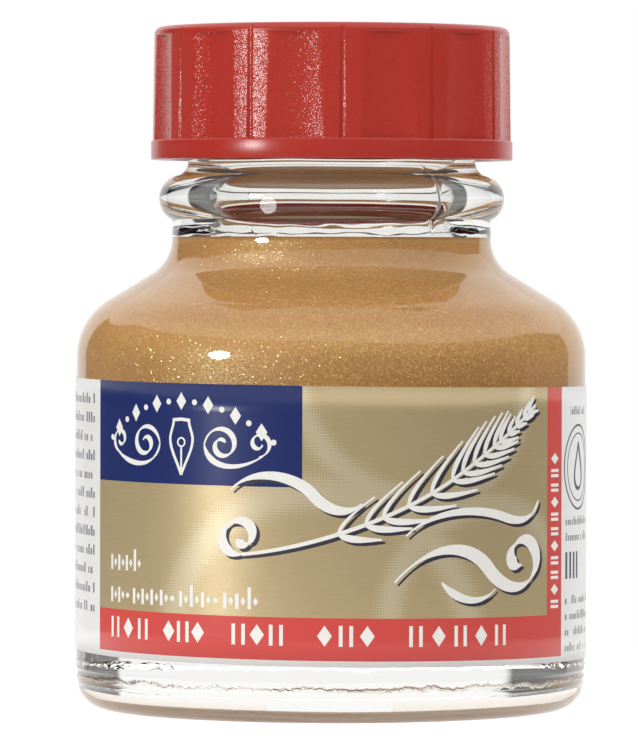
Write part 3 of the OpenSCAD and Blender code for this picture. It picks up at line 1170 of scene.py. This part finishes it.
def band_marks():
    """White ornaments along the red band, in five groups: paired bars and lozenges."""
    marks = []
    low, tall = 6.62, 1.75
    middle = low + tall / 2
    groups = ((-22.1, -17.1, 3), (-15.3, -11.1, 3), (-8.5, -4.0, 3), (-1.1, 3.7, 3),
              (6.7, 16.2, 5))
    for g, (start, end, count) in enumerate(groups):
        for k in range(count):
            u = start + 0.6 + (end - start - 1.2) * k / (count - 1)
            if (g + k) % 2:
                marks.append((u, middle, 1.25, tall, LOZENGE))
            else:
                marks.append((u - 0.44, middle, 0.32, tall, BAR))
                marks.append((u + 0.44, middle, 0.32, tall, BAR))
    return marks


def corner_marks():
    """Two short rows of bars and lozenges, parted by dots, at the lower left of the gold."""
    draw = random.Random(4)
    marks = []
    for low, start, groups in ((12.35, -22.2, (4,)), (9.6, -22.2, (2, 4, 3, 3))):
        u = start
        for g, count in enumerate(groups):
            for _ in range(count):
                tall = draw.choice((1.3, 1.3, 1.85))
                marks.append((u + 0.18, low + tall / 2, 0.3, tall, BAR))
                marks.append((u + 0.73, low + 0.65, 0.42, 0.75, LOZENGE))
                u += 1.1
            if g < len(groups) - 1:
                marks.append((u + 0.3, low + 0.65, 0.45, 0.45, DOT))
                u += 1.0
    return marks


def stripe_marks():
    """A column of bars and lozenges up the red stripe."""
    marks = []
    u = FRONT_HALF - STRIPE_W / 2
    for i in range(11):
        v = 9.9 + 1.24 * i
        if i % 3 == 1:
            marks.append((u, v, 1.3, 0.95, LOZENGE))
        else:
            marks.append((u, v - 0.22, 1.3, 0.26, BAR))
            marks.append((u, v + 0.22, 1.3, 0.26, BAR))
    return marks


def emblem_marks():
    """An arc of lozenges and dots over the nib."""
    marks = []
    for k in range(-7, 8):
        a = math.radians(90 - k * 6.0)
        place = (-13.4 + 12.8 * math.cos(a), 14.1 + 12.8 * math.sin(a))
        if k % 2:
            marks.append((*place, 0.5, 0.5, DOT))
        else:
            marks.append((*place, 1.0, 1.5, LOZENGE))
    return marks


def side_marks():
    """Four bars under the ring on the white side."""
    return [(25.3 + 0.9 * k, 13.1, 0.42, 2.3, BAR) for k in range(4)]


def side_strokes():
    """A plain ring with a drop in it, on the white side."""
    u, v = 28.4, 21.5
    drop = bezier([(u, v + 2.1), (u - 0.5, v + 0.8), (u - 1.3, v - 0.1), (u - 1.1, v - 1.1),
                   (u - 0.8, v - 2.1), (u + 0.8, v - 2.1), (u + 1.1, v - 1.1),
                   (u + 1.3, v - 0.1), (u + 0.5, v + 0.8), (u, v + 2.1)], 12)
    return [
        (spiral((u, v), 3.6, 3.6, 0, 1.0, 60), 0.18, 0.18, 0),
        (spiral((u, v), 2.9, 2.9, 0, 1.0, 60), 0.12, 0.12, 0),
        (drop, 0.4, 0.22, 0),
    ]


# ---------------------------------------------------------------- studio


def make_floor(paper):
    """A small round white table top, level with the bottle's base."""
    radius, corners = 60 * MM, 96
    ring = [2 * math.pi * k / corners for k in range(corners)]
    mesh = bpy.data.meshes.new("floor")
    mesh.from_pydata([(radius * math.cos(a), radius * math.sin(a), 0) for a in ring], [],
                     [tuple(range(corners))])
    floor = keep("floor", mesh)
    floor.data.materials.append(paper)


def softbox(name, azimuth, elevation, distance, size, power):
    """An oval light that faces the bottle. Azimuth 0 is the camera's side, left is minus."""
    a, e = math.radians(azimuth), math.radians(elevation)
    target = Vector((0, 0, 0.03))
    place = target + distance * Vector((math.sin(a) * math.cos(e), -math.cos(a) * math.cos(e),
                                        math.sin(e)))
    light = bpy.data.lights.new(name, "AREA")
    light.shape = "ELLIPSE"
    light.size, light.size_y = size
    light.energy = power
    lamp = keep(name, light)
    lamp.location = place
    lamp.rotation_euler = (target - place).to_track_quat("-Z", "Y").to_euler()


def make_world():
    """White to the camera. In reflections: a white tent over the bottle, open low down, with a
    dark gap in its roof, a lit wall behind and a dim room at the sides."""
    world = bpy.data.worlds.new("studio")
    world.use_nodes = True
    bpy.context.scene.world = world
    tree = world.node_tree
    tree.nodes.clear()

    def ramp(value, start, end):
        """0 up to start and 1 from end on, with a soft step between."""
        node = add(tree, "ShaderNodeMapRange", interpolation_type="SMOOTHSTEP", Value=value,
                   From_Min=start, From_Max=end)
        return Field(tree, node.outputs[0])

    x, y, z = coordinates(tree, add(tree, "ShaderNodeTexCoord").outputs["Generated"])
    # The tent: its lower edge is highest in front, lower at the right and lowest behind
    tent_light, gap_light, softness = 1.2, 0.12, 0.015
    edge = 0.535 - ramp(x, 0.0, 0.7) * 0.1 - ramp(y, 0.3, 0.75) * 0.16
    tent = ramp(z - edge, -softness, softness) * tent_light
    above = largest(z, 0.001)
    depth, breadth = y / above, abs(x) / above
    roof_gap = ramp(depth, 0.12, 0.2) * ramp(depth, 1.4, 1.2) * ramp(breadth, 0.42, 0.36)
    tent = tent * (1.0 - roof_gap * (1 - gap_light))
    # The lit wall behind, between its left and right ends
    aside = x / largest(y, 0.001)
    wall = ramp(aside, -0.7, -0.6) * ramp(aside, 1.05, 0.95) * ramp(y, 0.0, 0.1)
    # The dim room: lighter at the left of the camera, and low down at the back
    dim, lit_side, lit_floor = 0.06, 0.24, 0.16
    room = ramp(y, -0.3, -0.6) * ramp(x, 0.9, -0.8) * lit_side + dim
    room = ramp(abs(z), 0.13, 0.06) * ramp(y, 0.0, 0.2) * lit_floor + room
    # Matt surfaces see an even light, stronger from the right. The camera sees white
    camera, diffuse = rays(tree, "Camera", "Diffuse")
    fill = ramp(x, -0.4, 0.8) * 0.42 + 0.42
    level = largest(tent, wall, room, diffuse * fill, camera)
    ground = add(tree, "ShaderNodeBackground", Color=(1, 1, 1, 1), Strength=level)
    feed(tree, add(tree, "ShaderNodeOutputWorld"), Surface=ground.outputs[0])


def make_camera():
    """A long lens level with the shoulder of the bottle, a little above its middle."""
    eye_z, distance = 39.4, 560.0
    down, roll, aside = 1.02310, -0.16, 0.11122
    data = bpy.data.cameras.new("camera")
    data.lens = 313.7
    data.sensor_width = 36.0
    data.clip_start = 0.01
    data.clip_end = 20.0
    camera = keep("camera", data)
    camera.location = (0.0, -distance * MM, eye_z * MM)
    camera.rotation_euler = [math.radians(turn) for turn in (90 - down, roll, aside)]
    bpy.context.scene.camera = camera


# ---------------------------------------------------------------- assembly


def dress(piece, body, ink=None):
    """Gives a piece its material and body."""
    if ink is not None:
        piece.data.materials.clear()
        piece.data.materials.append(ink)
    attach(piece, body)
    return piece


def build():
    """Makes the studio and the pieces, hides the imported parts that they stand for and puts each
    on the body that it rides on.
    """
    make_camera()
    make_world()
    make_floor(floor_paper())
    softbox("key", -51, 7.3, 0.75, (0.14, 0.15), 1.9)

    glass = dress(make_glass(), "bottle", clear_glass())
    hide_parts("bottle")
    ink = dress(make_ink(), "bottle", gold_ink())
    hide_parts("ink_fill")
    label = dress(make_label(), "bottle", label_print())
    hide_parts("label")
    cap = dress(make_cap(), "cap", red_plastic())
    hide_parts("cap_shell")
    liner = dress(make_liner(), "liner", liner_foam())
    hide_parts("cap_liner")

    white = print_ink("white print", colour(244, 242, 236), 0.45)
    shadow = print_ink("shadow print", colour(52, 46, 62), 0.5)
    grey = print_ink("grey print", colour(84, 86, 104), 0.5)
    wrapping = wrap_tree()
    strokes = strokes_tree(wrapping)
    marks = marks_tree(wrapping)
    drawn = quill_strokes() + scroll_strokes()
    printed = (
        (strokes_object(drawn, shift=(0.3, -0.26)), strokes, "flourish_shadow", shadow, 0.006),
        (strokes_object(drawn), strokes, "flourish", white, 0.012),
        (strokes_object(emblem_strokes()), strokes, "nib_emblem", white, 0.01),
        (strokes_object(side_strokes()), strokes, "side_ring", grey, 0.01),
        (marks_object(band_marks() + corner_marks() + stripe_marks() + emblem_marks()), marks,
         "ornament_rows", white, 0.01),
        (marks_object(side_marks()), marks, "side_bars", grey, 0.01),
    )
    for source, tree, name, ink_used, film in printed:
        dress(bake(source, tree, name, ink_used, film), "bottle")


build()
bpy.context.scene.view_settings.view_transform = "Standard"
